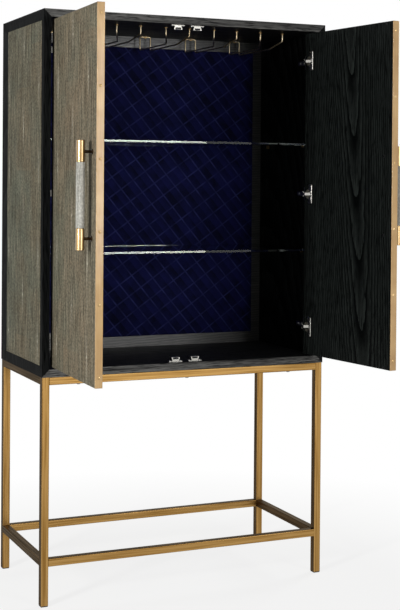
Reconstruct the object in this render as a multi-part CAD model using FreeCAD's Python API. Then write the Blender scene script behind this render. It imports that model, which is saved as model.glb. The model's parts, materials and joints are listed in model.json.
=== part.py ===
import FreeCAD, Part
import math
import os

# Bar armoire on a tube stand, in millimetres. X runs to the right, Y to the back and Z up. Both doors
# stand open at rest. Y = 0 is the case's front face while the pieces are drawn. They are saved about an
# origin on the floor, half way between the handles and half way from the doors' free edges to the back.

Vector = FreeCAD.Vector

# Case
case_width = 1016.0
case_depth = 480.0
case_height = 1172.0
panel_thickness = 25.0
case_edge_radius = 1.5

# Fits
board_gap = 0.3
screw_gap = 0.05
running_gap = 0.05

# Back panel and quilted pad
back_thickness = 12.0
back_inset = 23.0
rabbet_width = 10.0
pad_border = 40.0
pad_board_thickness = 6.0
pad_board_inset = 4.0
pad_thickness = 14.0
pad_edge_radius = 6.0
channel_pitch = 56.0
channel_width = 28.0
channel_depth = 6.0
steep_channel_angle = 50.0
shallow_channel_angle = 35.0

# Cladding on the case sides
cladding_border = 36.0
cladding_front_border = 21.0
cladding_back_border = 71.0
cladding_recess = 4.0
cladding_thickness = 5.0
cladding_reveal = 0.6
cladding_edge_radius = 0.9

# Glass shelves and their pins
shelf_thickness = 8.0
glass_edge_radius = 0.8
shelf_front = 60.0
shelf_side_gap = 1.5
shelf_back_gap = 5.0
lower_shelf_rise = 360.0
upper_shelf_rise = 730.0
shelf_pin_radius = 3.0
shelf_pin_hold = 10.0
shelf_pin_reach = 10.0
shelf_pin_setback = 45.0

# Stemware racks of bent wire
rack_count = 5
rack_side_distance = 127.0
rack_wire_radius = 2.5
rack_bend_radius = 5.0
rack_mouth = 86.0
rack_slot = 40.0
rack_front = 114.0
rack_flare = 54.0
rack_rear_gap = 9.0
rack_hanger_drop = 26.0
rack_drop = 50.0
rack_hold = 8.0
collar_radius = 7.0
collar_thickness = 3.0
collar_edge_radius = 1.2
saddle_width = 7.0
saddle_strap = 1.0
saddle_foot = 8.0

# Magnetic catches and strikes
catch_offset = 35.0
catch_width = 30.0
catch_neck_width = 21.0
catch_depth = 22.0
catch_height = 15.0
catch_foot_width = 47.0
catch_foot_depth = 15.0
catch_foot_thickness = 2.5
magnet_width = 19.0
magnet_height = 6.0
magnet_thickness = 3.0
strike_radius = 5.0
strike_thickness = 2.0
strike_shank_radius = 1.6
strike_shank = 9.0
strike_edge_distance = 5.6
strike_gap = 0.5

# Doors
door_thickness = 22.0
door_face_thickness = 3.0
door_side_gap = 4.0
door_centre_gap = 4.0
door_end_gap = 6.0
door_edge_radius = 0.8
left_door_open = 92.0
right_door_open = 97.0

# Brass strip and nails on each door's free edge
strip_thickness = 3.0
strip_proud = 0.5
strip_edge_radius = 1.2
nail_count = 6
nail_end_distance = 30.0
nail_head_radius = 5.0
nail_head_height = 1.3
nail_shank_radius = 1.2
nail_shank = 22.0

# Handles
handle_from_edge = 42.0
handle_length = 318.0
handle_radius = 12.7
handle_end_length = 63.0
handle_core_radius = 10.5
handle_edge_radius = 1.2
handle_standoff = 35.5
grip_radius = 12.9
post_spacing = 252.0
post_radius = 4.5
post_base_radius = 8.0
post_base_thickness = 3.0
post_base_edge_radius = 1.3
post_socket = 6.0
handle_screw_radius = 2.5
handle_screw_grip = 12.0
handle_screw_head_radius = 4.8
handle_screw_head = 3.0

# Concealed hinges
hinge_end_distance = 95.0
pivot_in = 19.0
pivot_back = 10.5
hinge_pin_radius = 1.5
cup_in = 22.0
cup_radius = 17.5
cup_wall = 0.7
cup_floor = 0.8
cup_depth = 15.6
flange_start = 2.0
flange_width = 21.0
flange_height = 66.0
flange_thickness = 3.0
flange_corner_radius = 4.0
flange_face_radius = 2.4
cup_screw_in = 9.5
cup_screw_spacing = 48.0
arm_thickness = 2.0
arm_neck_height = 9.0
arm_height = 20.0
arm_eye_radius = 3.0
arm_exit_angle = 34.5
arm_exit_depth = 0.6
arm_clear_in = 1.3
arm_clear_back = 8.5
arm_crook_out = 4.0
arm_crook_back = 18.5
arm_lead_in = 6.0
arm_lead_back = 25.0
arm_tail_back = 33.0
arm_tail_height = 14.0
arm_end = 128.0
plate_front = 62.0
plate_length = 72.0
plate_height = 14.0
plate_thickness = 8.0
wing_front = 14.0
wing_length = 18.0
wing_height = 48.0
wing_thickness = 3.0
wing_corner_radius = 5.0
wing_screw_spacing = 32.0
tail_screw_from_end = 12.0

# Small screws
small_screw_radius = 1.8
small_screw_length = 13.0
small_head_radius = 3.4
small_head = 1.8
head_round = 0.45
recess_reach = 0.58
recess_width = 0.24
recess_depth = 0.6

# Tube stand
stand_height = 733.0
tube_size = 25.0
tube_wall = 1.5
tube_edge_radius = 2.0
stand_inset = 2.0
stretcher_height = 128.0
glide_height = 4.0
glide_inset = 1.0
glide_plug = 14.0
glide_edge_radius = 1.5
stand_screw_radius = 3.0
stand_screw_grip = 12.0
stand_screw_head_radius = 6.0
stand_screw_head = 3.5
stand_screw_from_leg = 101.0

# Places worked out from those sizes
half_width = case_width / 2
case_top = stand_height + case_height
inner_half = half_width - panel_thickness
floor_z = stand_height + panel_thickness
ceiling_z = case_top - panel_thickness
back_face = case_depth - back_inset - back_thickness
pad_face = back_face - pad_board_thickness - pad_thickness
rack_rear = pad_face - rack_rear_gap
hinge_edge_x = -inner_half + door_side_gap
free_edge_x = -door_centre_gap / 2
core_edge_x = free_edge_x - strip_thickness
door_low = floor_z + door_end_gap
door_high = ceiling_z - door_end_gap
door_mid = (door_low + door_high) / 2
pivot_x = hinge_edge_x + pivot_in
pivot_y = pivot_back
cup_x = hinge_edge_x + cup_in
hinge_heights = (door_low + hinge_end_distance, door_mid, door_high - hinge_end_distance)
strike_heights = (door_low + strike_edge_distance, door_high - strike_edge_distance)
handle_x = free_edge_x - handle_from_edge
post_heights = (door_mid - post_spacing / 2, door_mid + post_spacing / 2)
magnet_face = door_thickness + strike_thickness + strike_gap
housing_face = magnet_face + magnet_thickness
leg_half = half_width - stand_inset
mitre_reach = 2 * panel_thickness
rail_low = stand_height - tube_size
stand_screw_offset = leg_half - tube_size - stand_screw_from_leg
rack_pitch = 2 * (inner_half - rack_side_distance) / (rack_count - 1)
rack_places = [(i - (rack_count - 1) / 2) * rack_pitch for i in range(rack_count)]


def handle_reach(opening):
    turn = math.radians(opening)
    return (handle_standoff + pivot_y) * math.sin(turn) - (handle_x - pivot_x) * math.cos(turn)


def door_reach(opening):
    turn = math.radians(opening)
    return (free_edge_x + nail_head_height - pivot_x) * math.sin(turn) - pivot_y


origin_x = (handle_reach(right_door_open) - handle_reach(left_door_open)) / 2
origin_y = (case_depth - door_reach(left_door_open)) / 2


def block(low, high):
    size = Vector(*high) - Vector(*low)
    return Part.makeBox(size.x, size.y, size.z, Vector(*low))


def rod(start, end, radius):
    along = Vector(*end) - Vector(*start)
    return Part.makeCylinder(radius, along.Length, Vector(*start), along)


def outline_face(points):
    return Part.Face(Part.makePolygon([Vector(*p) for p in points] + [Vector(*points[0])]))


def mirrored(shape):
    return shape.mirror(Vector(0, 0, 0), Vector(1, 0, 0))


def both_sides(shapes):
    return list(shapes) + [mirrored(shape) for shape in shapes]


def joined(shapes):
    return shapes[0].fuse(shapes[1:]).removeSplitter() if len(shapes) > 1 else shapes[0]


def without(shape, holes):
    return shape.cut(holes)


def edges_on(shape, axis, value, but=()):
    chosen = []
    for edge in shape.Edges:
        ends = [(v.X, v.Y, v.Z) for v in edge.Vertexes]
        flat = all(abs(p[axis] - value) < 1e-6 for p in ends)
        barred = any(all(abs(p[a] - b) < 1e-6 for p in ends) for a, b in but)
        if flat and not barred:
            chosen.append(edge)
    return chosen


def edges_along(shape, axis):
    step = [Vector(1, 0, 0), Vector(0, 1, 0), Vector(0, 0, 1)][axis]
    straight = [e for e in shape.Edges if len(e.Vertexes) == 2]
    return [e for e in straight if abs(abs(e.tangentAt(e.FirstParameter) * step) - 1) < 1e-6]


def cross_recess(seat, into, head_radius, head):
    reach = head_radius * recess_reach
    half = head_radius * recess_width / 2
    floor = head * (1 - recess_depth)
    arms = [block((-reach, -half, floor), (reach, half, 2 * head))]
    arms.append(block((-half, -reach, floor), (half, reach, 2 * head)))
    cross = joined(arms)
    cross.Placement = FreeCAD.Placement(seat, FreeCAD.Rotation(Vector(0, 0, 1), into * -1))
    return cross


def screw(seat, into, length, radius, head_radius, head):
    seat = Vector(*seat)
    into = Vector(*into)
    shank = Part.makeCylinder(radius, length, seat, into)
    cap = Part.makeCylinder(head_radius, head, seat, into * -1)
    rim = [e for e in cap.Edges if (e.CenterOfMass - seat).Length > head * 0.9 and len(e.Vertexes) == 1]
    whole = cap.makeFillet(head * head_round, rim).fuse(shank).removeSplitter()
    return whole.cut(cross_recess(seat, into, head_radius, head))


def screw_hole(seat, into, length, radius):
    return Part.makeCylinder(radius + screw_gap, length + board_gap, Vector(*seat), Vector(*into))


def small_screw(seat, into):
    return screw(seat, into, small_screw_length, small_screw_radius, small_head_radius, small_head)


def small_hole(seat, into):
    return screw_hole(seat, into, small_screw_length, small_screw_radius)


def save(name, shapes):
    solids = shapes if isinstance(shapes, list) else [shapes]
    solids = [solid for shape in solids for solid in shape.Solids]
    whole = solids[0] if len(solids) == 1 else Part.makeCompound(solids)
    if not all(solid.isValid() for solid in solids):
        raise ValueError(name + " holds a solid that is not valid")
    whole.translated(Vector(-origin_x, -origin_y, 0)).exportStep("parts/" + name + ".step")
    print(name, len(solids), round(sum(solid.Volume for solid in solids)))


# Small pieces that more than one board is drilled for

def shelf_height(rise):
    return floor_z + rise


def shelf_pin_places():
    depths = (shelf_front + shelf_pin_setback, pad_face - shelf_back_gap - shelf_pin_setback)
    heights = [shelf_height(rise) - shelf_pin_radius for rise in (lower_shelf_rise, upper_shelf_rise)]
    return [(y, z) for z in heights for y in depths]


def wing_screw_places():
    y = plate_front + wing_front + wing_length / 2
    steps = (-wing_screw_spacing / 2, wing_screw_spacing / 2)
    return [(-inner_half + wing_thickness, y, z + step) for z in hinge_heights for step in steps]


def catch_screw_places(up):
    foot = catch_foot_thickness if up < 0 else -catch_foot_thickness
    z = (floor_z if up < 0 else ceiling_z) + foot
    step = (catch_foot_width + catch_width) / 4
    y = housing_face + catch_foot_depth / 2
    centres = (-catch_offset, catch_offset)
    return [(x + side * step, y, z) for x in centres for side in (-1, 1)]


def saddle_screw_places():
    reach = rack_wire_radius + saddle_strap + saddle_foot / 2
    z = ceiling_z - saddle_strap
    return [(x, rack_rear + side * reach, z) for x in rack_places for side in (-1, 1)]


def hanger_places():
    return [(x + side * rack_mouth / 2, rack_front) for x in rack_places for side in (-1, 1)]


def stand_screw_places():
    near = stand_inset + tube_size / 2
    far = case_depth - near
    return [(x, y) for x in (-stand_screw_offset, 0, stand_screw_offset) for y in (near, far)]


# Case boards, cut from one mitred ring

def case_ring():
    outer = block((-half_width, 0, stand_height), (half_width, case_depth, case_top))
    outer = outer.makeFillet(case_edge_radius, outer.Edges)
    hollow = block((-inner_half, -1, floor_z), (inner_half, case_depth + 1, ceiling_z))
    wide = inner_half + rabbet_width
    low = floor_z - rabbet_width
    high = ceiling_z + rabbet_width
    rabbet = block((-wide, back_face, low), (wide, case_depth + 1, high))
    return outer.cut([hollow, rabbet])


def mitre_wedge(corner_a, corner_b, inner_b, inner_a):
    points = [(x, -1, z) for x, z in (corner_a, corner_b, inner_b, inner_a)]
    return outline_face(points).extrude(Vector(0, case_depth + 2, 0))


ring = case_ring()
top_left = (-half_width, case_top)
top_right = (half_width, case_top)
low_left = (-half_width, stand_height)
low_right = (half_width, stand_height)
top_left_in = (-half_width + mitre_reach, case_top - mitre_reach)
top_right_in = (half_width - mitre_reach, case_top - mitre_reach)
low_left_in = (-half_width + mitre_reach, stand_height + mitre_reach)
low_right_in = (half_width - mitre_reach, stand_height + mitre_reach)


def case_top_board():
    board = ring.common(mitre_wedge(top_left, top_right, top_right_in, top_left_in))
    up = (0, 0, 1)
    holes = [small_hole(p, up) for p in catch_screw_places(1) + saddle_screw_places()]
    for x, y in hanger_places():
        holes.append(screw_hole((x, y, ceiling_z), up, rack_hold, rack_wire_radius))
    return without(board, holes)


def case_bottom_board():
    board = ring.common(mitre_wedge(low_left, low_right, low_right_in, low_left_in))
    holes = [small_hole(p, (0, 0, -1)) for p in catch_screw_places(-1)]
    for x, y in stand_screw_places():
        holes.append(screw_hole((x, y, stand_height), (0, 0, 1), stand_screw_grip, stand_screw_radius))
    return without(board, holes)


def left_case_side():
    board = ring.common(mitre_wedge(low_left, top_left, top_left_in, low_left_in))
    low = (-half_width - 1, cladding_front_border, stand_height + cladding_border)
    back = case_depth - cladding_back_border
    high = (-half_width + cladding_recess, back, case_top - cladding_border)
    holes = [block(low, high)]
    holes += [small_hole(p, (-1, 0, 0)) for p in wing_screw_places()]
    for y, z in shelf_pin_places():
        holes.append(screw_hole((-inner_half, y, z), (-1, 0, 0), shelf_pin_hold, shelf_pin_radius))
    return without(board, holes)


def left_cladding():
    edge = cladding_border + cladding_reveal
    outside = -half_width + cladding_recess - cladding_thickness
    inside = -half_width + cladding_recess
    low = (outside, cladding_front_border + cladding_reveal, stand_height + edge)
    back = case_depth - cladding_back_border - cladding_reveal
    panel = block(low, (inside, back, case_top - edge))
    return panel.makeFillet(cladding_edge_radius, edges_on(panel, 0, outside))


def back_board():
    wide = inner_half + rabbet_width - board_gap
    low = floor_z - rabbet_width + board_gap
    high = ceiling_z + rabbet_width - board_gap
    return block((-wide, back_face, low), (wide, back_face + back_thickness, high))


def pad_board():
    edge = pad_border + pad_board_inset
    low = (-inner_half + edge, back_face - pad_board_thickness, floor_z + edge)
    return block(low, (inner_half - edge, back_face, ceiling_z - edge))


# Quilted pad: a rounded slab with two families of sewn channels

def channel_family(angle, leans):
    wide = 2 * (inner_half - pad_border)
    tall = ceiling_z - floor_z - 2 * pad_border
    turn = math.radians(angle)
    along = Vector(leans * math.cos(turn), 0, -math.sin(turn))
    across = Vector(leans * math.sin(turn), 0, math.cos(turn))
    reach = wide * abs(across.x) + tall * abs(across.z)
    count = int(reach / channel_pitch / 2)
    length = wide + tall
    middle = Vector(0, pad_face, (floor_z + ceiling_z) / 2)
    side = across * (channel_width / 2)
    out = Vector(0, -1, 0)
    grooves = []
    for step in range(-count, count + 1):
        start = middle + across * (step * channel_pitch) - along * (length / 2)
        sewn = start - out * channel_depth
        points = [start - side, sewn, start + side, start + side + out, start - side + out]
        grooves.append(outline_face([(p.x, p.y, p.z) for p in points]).extrude(along * length))
    return grooves


def quilted_pad():
    wide = inner_half - pad_border
    back = back_face - pad_board_thickness
    slab = block((-wide, pad_face, floor_z + pad_border), (wide, back, ceiling_z - pad_border))
    slab = slab.makeFillet(pad_edge_radius, edges_on(slab, 1, pad_face))
    grooves = channel_family(steep_channel_angle, 1) + channel_family(shallow_channel_angle, -1)
    for groove in grooves:
        slab = slab.cut(groove)
    return slab


# Shelves and racks

def shelf(rise):
    z = shelf_height(rise)
    wide = inner_half - shelf_side_gap
    glass = block((-wide, shelf_front, z), (wide, pad_face - shelf_back_gap, z + shelf_thickness))
    return glass.makeFillet(glass_edge_radius, glass.Edges)


def shelf_pins():
    pins = []
    for y, z in shelf_pin_places():
        start = (-inner_half - shelf_pin_hold, y, z)
        pins.append(rod(start, (-inner_half + shelf_pin_reach, y, z), shelf_pin_radius))
    return both_sides(pins)


def bent_path(points, radius):
    points = [Vector(*p) for p in points]
    edges = []
    start = points[0]
    for before, corner, after in zip(points, points[1:], points[2:]):
        back = (before - corner).normalize()
        on = (after - corner).normalize()
        half_turn = (math.pi - back.getAngle(on)) / 2
        run = radius * math.tan(half_turn)
        middle = corner + (back + on).normalize() * (radius / math.cos(half_turn) - radius)
        edges.append(Part.LineSegment(start, corner + back * run).toShape())
        edges.append(Part.Arc(corner + back * run, middle, corner + on * run).toShape())
        start = corner + on * run
    edges.append(Part.LineSegment(start, points[-1]).toShape())
    return Part.Wire(edges)


def rack_wire(x):
    mouth = rack_mouth / 2
    slot = rack_slot / 2
    top = ceiling_z + rack_hold
    bend = ceiling_z - rack_hanger_drop
    rail = ceiling_z - rack_drop
    bar = ceiling_z - rack_wire_radius
    half = [
        (-mouth, rack_front, top),
        (-mouth, rack_front, bend),
        (-slot, rack_front + rack_flare, rail),
        (-slot, rack_rear, rail),
        (-slot, rack_rear, bar),
    ]
    other = [(-across, y, z) for across, y, z in reversed(half)]
    points = [(x + across, y, z) for across, y, z in half + other]
    path = bent_path(points, rack_bend_radius)
    start = Part.Wire(Part.makeCircle(rack_wire_radius, Vector(*points[0]), Vector(0, 0, -1)))
    return path.makePipeShell([start], True, False)


def rack_collar(x, y):
    ring_solid = rod((x, y, ceiling_z - collar_thickness), (x, y, ceiling_z), collar_radius)
    rim = [e for e in ring_solid.Edges if e.CenterOfMass.z < ceiling_z - collar_thickness / 2]
    ring_solid = ring_solid.makeFillet(collar_edge_radius, [e for e in rim if len(e.Vertexes) == 1])
    below = (x, y, ceiling_z - collar_thickness - 1)
    return ring_solid.cut(rod(below, (x, y, ceiling_z + 1), rack_wire_radius + screw_gap))


def rack_saddle(x):
    half = saddle_width / 2
    inner = rack_wire_radius + board_gap
    outer = inner + saddle_strap
    foot = outer + saddle_foot
    under = ceiling_z - 2 * rack_wire_radius - board_gap
    low = ceiling_z - saddle_strap
    feet = block((x - half, rack_rear - foot, low), (x + half, rack_rear + foot, ceiling_z))
    low = under - saddle_strap
    bridge = block((x - half, rack_rear - outer, low), (x + half, rack_rear + outer, ceiling_z))
    high = (x + half + 1, rack_rear + inner, ceiling_z + 1)
    channel = block((x - half - 1, rack_rear - inner, under), high)
    strap = feet.fuse(bridge).removeSplitter().cut(channel)
    places = [p for p in saddle_screw_places() if abs(p[0] - x) < half]
    return strap.cut([small_hole(p, (0, 0, 1)) for p in places])


# Magnetic catches

def catch_parts(x, up):
    seat = floor_z if up < 0 else ceiling_z
    strike_z = strike_heights[0] if up < 0 else strike_heights[1]
    foot_ends = sorted((seat, seat - up * catch_foot_thickness))
    half = catch_width / 2
    neck_half = catch_neck_width / 2
    foot_half = catch_foot_width / 2
    far = seat - up * catch_height
    corners = [(-neck_half, seat), (neck_half, seat), (half, far), (-half, far)]
    outline = outline_face([(x + across, housing_face, z) for across, z in corners])
    body = outline.extrude(Vector(0, catch_depth, 0))
    foot_back = housing_face + catch_foot_depth
    foot = block((x - foot_half, housing_face, foot_ends[0]), (x + foot_half, foot_back, foot_ends[1]))
    housing = body.fuse(foot).removeSplitter()
    places = [p for p in catch_screw_places(up) if abs(p[0] - x) < foot_half]
    drill = [screw_hole(p, (0, 0, up), catch_foot_thickness, small_screw_radius) for p in places]
    housing = housing.cut(drill)
    low = (x - magnet_width / 2, magnet_face, strike_z - magnet_height / 2)
    magnet = block(low, (x + magnet_width / 2, housing_face, strike_z + magnet_height / 2))
    return housing, magnet


# Concealed hinges

def ribbon(points, thickness):
    half = thickness / 2
    sides = []
    for i, point in enumerate(points):
        before = points[max(i - 1, 0)]
        after = points[min(i + 1, len(points) - 1)]
        into = Vector(point[0] - before[0], point[1] - before[1], 0)
        out = Vector(after[0] - point[0], after[1] - point[1], 0)
        into = (into if into.Length else out).normalize()
        out = (out if out.Length else into).normalize()
        normal = Vector(-into.y - out.y, into.x + out.x, 0).normalize()
        reach = half / (normal.x * -into.y + normal.y * into.x)
        sides.append(normal * reach)
    left = [(p[0] + s.x, p[1] + s.y) for p, s in zip(points, sides)]
    right = [(p[0] - s.x, p[1] - s.y) for p, s in zip(points, sides)]
    return left + right[::-1]


def ribbon_solid(points, thickness, z, height):
    outline = [(x, y, z - height / 2) for x, y in ribbon(points, thickness)]
    return outline_face(outline).extrude(Vector(0, 0, height))


def tail_x():
    return -inner_half + plate_thickness + arm_thickness / 2


def left_hinge_arm(z):
    rise = door_thickness - pivot_back
    exit_y = rise - arm_exit_depth
    exit_x = exit_y / math.tan(math.radians(arm_exit_angle))
    exit_point = (pivot_x + exit_x, pivot_y + exit_y)
    clear = (exit_point[0] + arm_clear_in, door_thickness + arm_clear_back)
    crook = (exit_point[0] - arm_crook_out, door_thickness + arm_crook_back)
    lead = (tail_x() + arm_lead_in, door_thickness + arm_lead_back)
    tail = (tail_x(), door_thickness + arm_tail_back)
    end = (tail_x(), arm_end)
    neck = ribbon_solid([(pivot_x, pivot_y), exit_point, clear, crook], arm_thickness, z, arm_neck_height)
    swan = ribbon_solid([crook, lead, tail], arm_thickness, z, arm_height)
    strap = ribbon_solid([tail, end], arm_thickness, z, arm_tail_height)
    low = (pivot_x, pivot_y, z - arm_neck_height / 2)
    high = (pivot_x, pivot_y, z + arm_neck_height / 2)
    knee_low = (crook[0], crook[1], z - arm_height / 2)
    knee = rod(knee_low, (crook[0], crook[1], z + arm_height / 2), arm_thickness / 2)
    arm = joined([neck, swan, strap, knee, rod(low, high, arm_eye_radius)])
    eye_low = (pivot_x, pivot_y, z - arm_height)
    eye = rod(eye_low, (pivot_x, pivot_y, z + arm_height), hinge_pin_radius + running_gap)
    fix = rod((-inner_half, tail_screw_y(), z), (0, tail_screw_y(), z), small_screw_radius + screw_gap)
    return arm.cut([eye, fix])


def tail_screw_y():
    return arm_end - tail_screw_from_end


def left_hinge_plate(z):
    x = -inner_half
    low = (x, plate_front, z - plate_height / 2)
    body = block(low, (x + plate_thickness, plate_front + plate_length, z + plate_height / 2))
    wing_y = plate_front + wing_front
    wing_low = (x, wing_y, z - wing_height / 2)
    wing = block(wing_low, (x + wing_thickness, wing_y + wing_length, z + wing_height / 2))
    wing = wing.makeFillet(wing_corner_radius, edges_along(wing, 0))
    places = [p for p in wing_screw_places() if abs(p[2] - z) < wing_height / 2]
    holes = [screw_hole(p, (-1, 0, 0), wing_thickness, small_screw_radius) for p in places]
    seat = (x + plate_thickness, tail_screw_y(), z)
    holes.append(screw_hole(seat, (-1, 0, 0), plate_thickness, small_screw_radius))
    return joined([body, wing]).cut(holes)


def left_tail_screw(z):
    seat = (-inner_half + plate_thickness + arm_thickness, tail_screw_y(), z)
    length = plate_thickness + arm_thickness - board_gap
    return screw(seat, (-1, 0, 0), length, small_screw_radius, small_head_radius, small_head)


def cup_screw_places():
    x = cup_x + cup_screw_in
    steps = (-cup_screw_spacing / 2, cup_screw_spacing / 2)
    return [(x, door_thickness + flange_thickness, z + step) for z in hinge_heights for step in steps]


def hinge_cup(z):
    cavity_radius = cup_radius - cup_wall
    floor = door_thickness - cup_depth
    outer = rod((cup_x, floor, z), (cup_x, door_thickness, z), cup_radius)
    low = (cup_x + flange_start, door_thickness, z - flange_height / 2)
    high = (cup_x + flange_start + flange_width, door_thickness + flange_thickness, z + flange_height / 2)
    flange = block(low, high)
    flange = flange.makeFillet(flange_corner_radius, edges_along(flange, 1))
    flange = flange.makeFillet(flange_face_radius, edges_on(flange, 1, high[1]))
    cup = joined([outer, flange])
    mouth = (cup_x, door_thickness + flange_thickness + 1, z)
    holes = [rod((cup_x, floor + cup_floor, z), mouth, cavity_radius)]
    pin_low = (pivot_x, pivot_y, z - cup_radius - 1)
    pin_high = (pivot_x, pivot_y, z + cup_radius + 1)
    holes.append(rod(pin_low, pin_high, hinge_pin_radius + screw_gap))
    places = [p for p in cup_screw_places() if abs(p[2] - z) < flange_height / 2]
    holes += [screw_hole(p, (0, -1, 0), flange_thickness, small_screw_radius) for p in places]
    return cup.cut(holes)


def hinge_pin(z):
    off_centre = abs(cup_x - pivot_x)
    reach = math.sqrt(cup_radius ** 2 - (off_centre + hinge_pin_radius) ** 2) - board_gap
    return rod((pivot_x, pivot_y, z - reach), (pivot_x, pivot_y, z + reach), hinge_pin_radius)


# Left door, drawn closed

def nail_heights():
    pitch = (door_high - door_low - 2 * nail_end_distance) / (nail_count - 1)
    return [door_low + nail_end_distance + i * pitch for i in range(nail_count)]


def strip_nail(z):
    dome_radius = (nail_head_radius ** 2 + nail_head_height ** 2) / (2 * nail_head_height)
    y = door_thickness / 2
    crown = Vector(free_edge_x + nail_head_height - dome_radius, y, z)
    keep = rod((free_edge_x, y, z), (free_edge_x + 2 * nail_head_height, y, z), 2 * nail_head_radius)
    head = Part.makeSphere(dome_radius, crown).common(keep)
    shank = rod((free_edge_x - nail_shank, y, z), (free_edge_x, y, z), nail_shank_radius)
    return head.fuse(shank).removeSplitter()


def nail_hole(z):
    y = door_thickness / 2
    start = (free_edge_x - nail_shank - board_gap, y, z)
    return rod(start, (free_edge_x + 1, y, z), nail_shank_radius + screw_gap)


def strike(z):
    seat = (-catch_offset, door_thickness, z)
    disc = rod(seat, (-catch_offset, door_thickness + strike_thickness, z), strike_radius)
    shank = rod((-catch_offset, door_thickness - strike_shank, z), seat, strike_shank_radius)
    return disc.fuse(shank).removeSplitter()


def handle_screw_hole(z, front, back):
    return rod((handle_x, front, z), (handle_x, back, z), handle_screw_radius + screw_gap)


def door_core():
    low = (hinge_edge_x, door_face_thickness, door_low)
    board = block(low, (core_edge_x, door_thickness, door_high))
    board = board.makeFillet(door_edge_radius, edges_on(board, 1, door_thickness, [(0, core_edge_x)]))
    holes = [nail_hole(z) for z in nail_heights()]
    for z in hinge_heights:
        floor = door_thickness - cup_depth - screw_gap
        holes.append(rod((cup_x, floor, z), (cup_x, door_thickness + 1, z), cup_radius + screw_gap))
    for x, y, z in cup_screw_places():
        length = small_screw_length - flange_thickness
        holes.append(screw_hole((x, door_thickness, z), (0, -1, 0), length, small_screw_radius))
    for z in strike_heights:
        seat = (-catch_offset, door_thickness, z)
        holes.append(screw_hole(seat, (0, -1, 0), strike_shank, strike_shank_radius))
    for z in post_heights:
        holes.append(handle_screw_hole(z, 0, door_thickness + 1))
    return board.cut(holes)


def door_face():
    panel = block((hinge_edge_x, 0, door_low), (core_edge_x, door_face_thickness, door_high))
    panel = panel.makeFillet(door_edge_radius, edges_on(panel, 1, 0, [(0, core_edge_x)]))
    return panel.cut([handle_screw_hole(z, -1, door_face_thickness + 1) for z in post_heights])


def edge_strip():
    low = (core_edge_x, -strip_proud, door_low)
    bar = block(low, (free_edge_x, door_thickness + strip_proud, door_high))
    bar = bar.makeFillet(strip_edge_radius, edges_on(bar, 0, free_edge_x))
    return bar.cut([nail_hole(z) for z in nail_heights()])


def handle_bar():
    half = handle_length / 2
    wrap = half - handle_end_length
    y = -handle_standoff
    ends = []
    for side in (-1, 1):
        near = (handle_x, y, door_mid + side * wrap)
        end = rod(near, (handle_x, y, door_mid + side * half), handle_radius)
        end = end.makeFillet(handle_edge_radius, [e for e in end.Edges if len(e.Vertexes) == 1])
        ends.append(end)
    inside = wrap + handle_end_length / 2
    core = rod((handle_x, y, door_mid - inside), (handle_x, y, door_mid + inside), handle_core_radius)
    bar = joined(ends + [core])
    surface = y + handle_radius
    for z in post_heights:
        socket_end = (handle_x, surface - post_socket, z)
        bar = bar.cut(rod(socket_end, (handle_x, 0, z), post_radius + screw_gap))
    return bar


def handle_grip():
    wrap = handle_length / 2 - handle_end_length - board_gap
    low = (handle_x, -handle_standoff, door_mid - wrap)
    high = (handle_x, -handle_standoff, door_mid + wrap)
    sleeve = rod(low, high, grip_radius)
    sleeve = sleeve.makeFillet(handle_edge_radius, [e for e in sleeve.Edges if len(e.Vertexes) == 1])
    return sleeve.cut(rod(low, high, handle_core_radius + screw_gap))


def handle_post(z):
    top = -handle_standoff + handle_radius - post_socket + board_gap
    neck = rod((handle_x, top, z), (handle_x, 0, z), post_radius)
    base = rod((handle_x, -post_base_thickness, z), (handle_x, 0, z), post_base_radius)
    rim = [e for e in base.Edges if len(e.Vertexes) == 1 and e.CenterOfMass.y < -post_base_thickness / 2]
    base = base.makeFillet(post_base_edge_radius, rim)
    bore = handle_screw_hole(z, -handle_screw_grip - board_gap, 1)
    return neck.fuse(base).removeSplitter().cut(bore)


def handle_screw(z):
    seat = (handle_x, door_thickness, z)
    length = door_thickness + handle_screw_grip
    return screw(seat, (0, -1, 0), length, handle_screw_radius, handle_screw_head_radius, handle_screw_head)


def door_screws():
    screws = [small_screw(p, (0, -1, 0)) for p in cup_screw_places()]
    return screws + [handle_screw(z) for z in post_heights]


def door_pieces():
    return {
        "door_core": [door_core()],
        "door_face": [door_face()],
        "edge_strip": [edge_strip()],
        "strip_nails": [strip_nail(z) for z in nail_heights()],
        "hinge_cups": [hinge_cup(z) for z in hinge_heights],
        "hinge_pins": [hinge_pin(z) for z in hinge_heights],
        "strikes": [strike(z) for z in strike_heights],
        "handle_bar": [handle_bar()],
        "handle_grip": [handle_grip()],
        "handle_posts": [handle_post(z) for z in post_heights],
        "door_screws": door_screws(),
    }


def opened(shape, x, angle):
    turned = shape.copy()
    turned.rotate(Vector(x, pivot_y, 0), Vector(0, 0, 1), angle)
    return turned


# Tube stand

def tube(low, high, axis):
    outer = block(low, high)
    outer = outer.makeFillet(tube_edge_radius, edges_along(outer, axis))
    inner_low = [value + tube_wall for value in low]
    inner_high = [value - tube_wall for value in high]
    inner_low[axis] = low[axis] - 1
    inner_high[axis] = high[axis] + 1
    return outer.cut(block(inner_low, inner_high))


def leg_corner(right, back):
    x = leg_half - tube_size if right else -leg_half
    y = case_depth - stand_inset - tube_size if back else stand_inset
    return x, y


def leg(right, back):
    x, y = leg_corner(right, back)
    return tube((x, y, glide_height), (x + tube_size, y + tube_size, stand_height), 2)


def glide(right, back):
    x, y = leg_corner(right, back)
    gap = tube_wall + board_gap / 2
    low = (x + glide_inset, y + glide_inset, 0)
    foot = block(low, (x + tube_size - glide_inset, y + tube_size - glide_inset, glide_height))
    foot = foot.makeFillet(glide_edge_radius, edges_on(foot, 2, 0))
    plug_low = (x + gap, y + gap, glide_height)
    plug = block(plug_low, (x + tube_size - gap, y + tube_size - gap, glide_height + glide_plug))
    return foot.fuse(plug).removeSplitter()


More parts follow.
